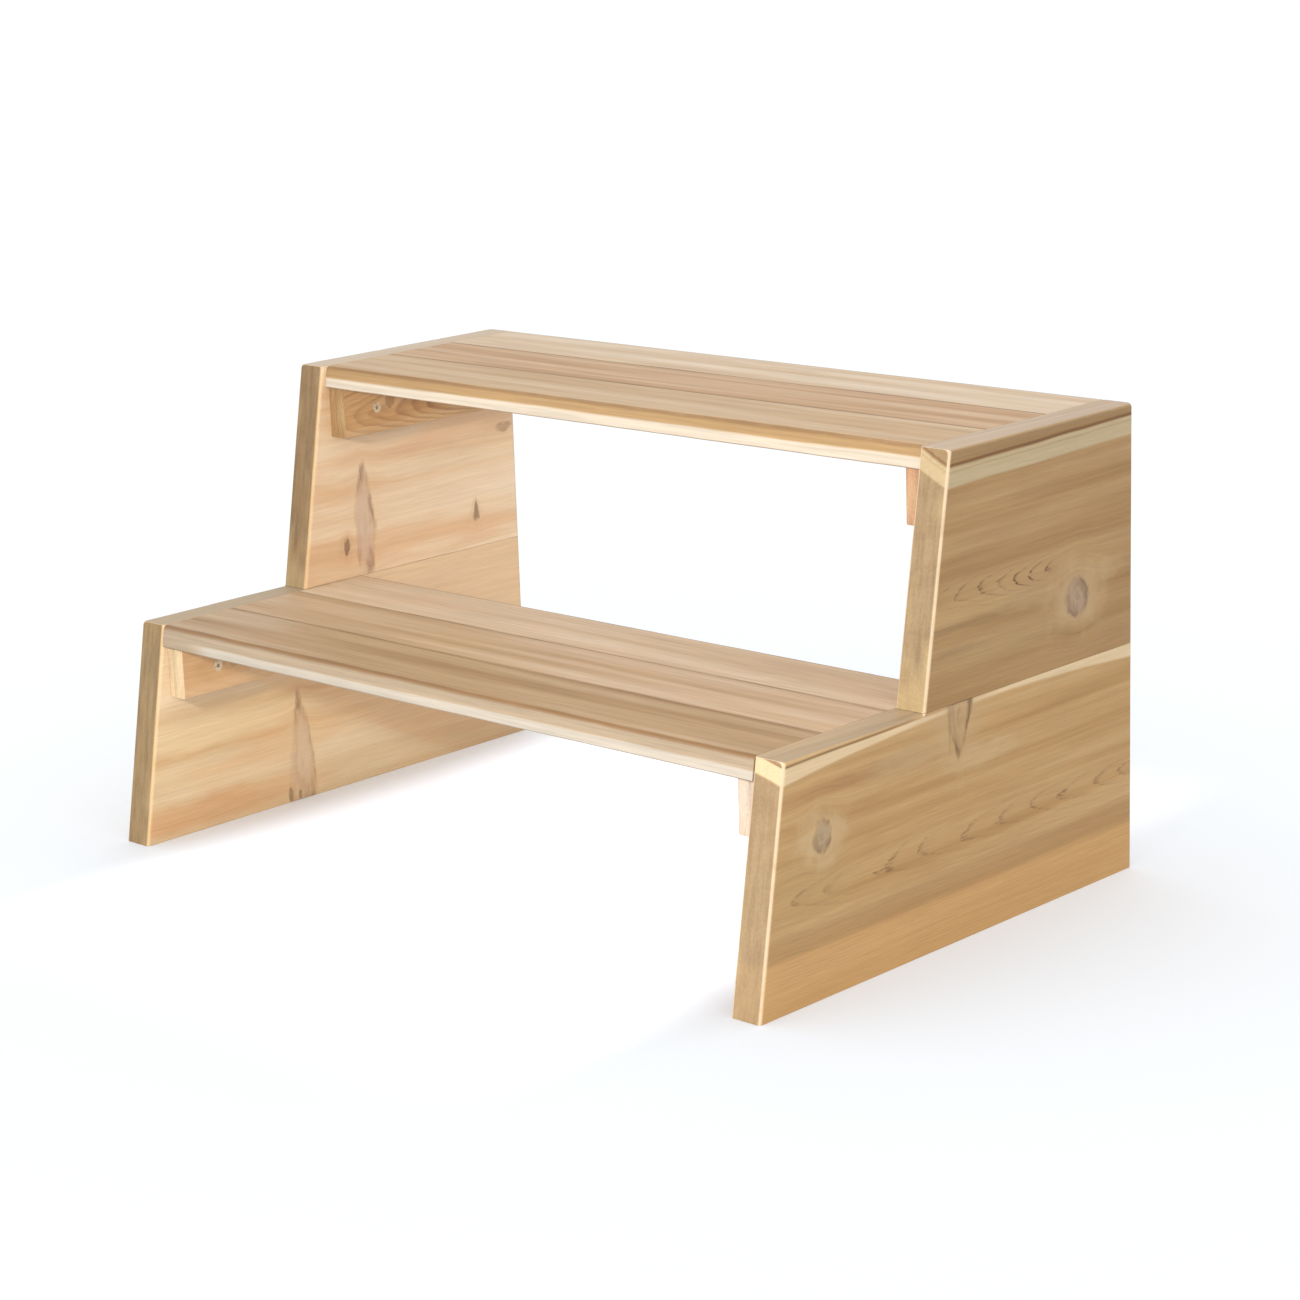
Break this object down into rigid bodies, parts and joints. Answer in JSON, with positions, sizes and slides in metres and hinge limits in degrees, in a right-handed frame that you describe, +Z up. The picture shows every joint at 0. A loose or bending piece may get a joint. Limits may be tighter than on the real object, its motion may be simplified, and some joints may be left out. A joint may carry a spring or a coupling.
{
  "type": "spa steps",
  "caption": "Free-standing two-tier wooden steps for getting into a spa, with stepped side panels that lean back at the front and boarded treads let in between them.",
  "frame": {"origin": "on the floor, under the middle of the outer box", "axes": "+Z up, the front that a user climbs faces -Y, the treads run along X, and +Y is towards the spa"},
  "size_m": [0.72, 0.458, 0.381],
  "materials": {
    "side_cedar": "oiled or unfinished planed softwood, satin",
    "tread_cedar": "unfinished planed softwood, satin",
    "cleat_cedar": "unfinished planed softwood, satin",
    "screw_steel": "dull stainless steel",
    "dowel_beech": "plain turned hardwood"
  },
  "bodies": {
    "root": {"left_side_lower_board": "side_cedar", "left_side_upper_board": "side_cedar", "left_side_dowels": "dowel_beech", "right_side_lower_board": "side_cedar", "right_side_upper_board": "side_cedar", "right_side_dowels": "dowel_beech", "lower_tread_front_board": "tread_cedar", "lower_tread_middle_board": "tread_cedar", "lower_tread_rear_board": "tread_cedar", "lower_left_cleat": "cleat_cedar", "lower_left_side_screws": "screw_steel", "lower_left_tread_screws": "screw_steel", "lower_right_cleat": "cleat_cedar", "lower_right_side_screws": "screw_steel", "lower_right_tread_screws": "screw_steel", "upper_tread_front_board": "tread_cedar", "upper_tread_middle_board": "tread_cedar", "upper_tread_rear_board": "tread_cedar", "upper_left_cleat": "cleat_cedar", "upper_left_side_screws": "screw_steel", "upper_left_tread_screws": "screw_steel", "upper_right_cleat": "cleat_cedar", "upper_right_side_screws": "screw_steel", "upper_right_tread_screws": "screw_steel"}
  },
  "joints": []
}
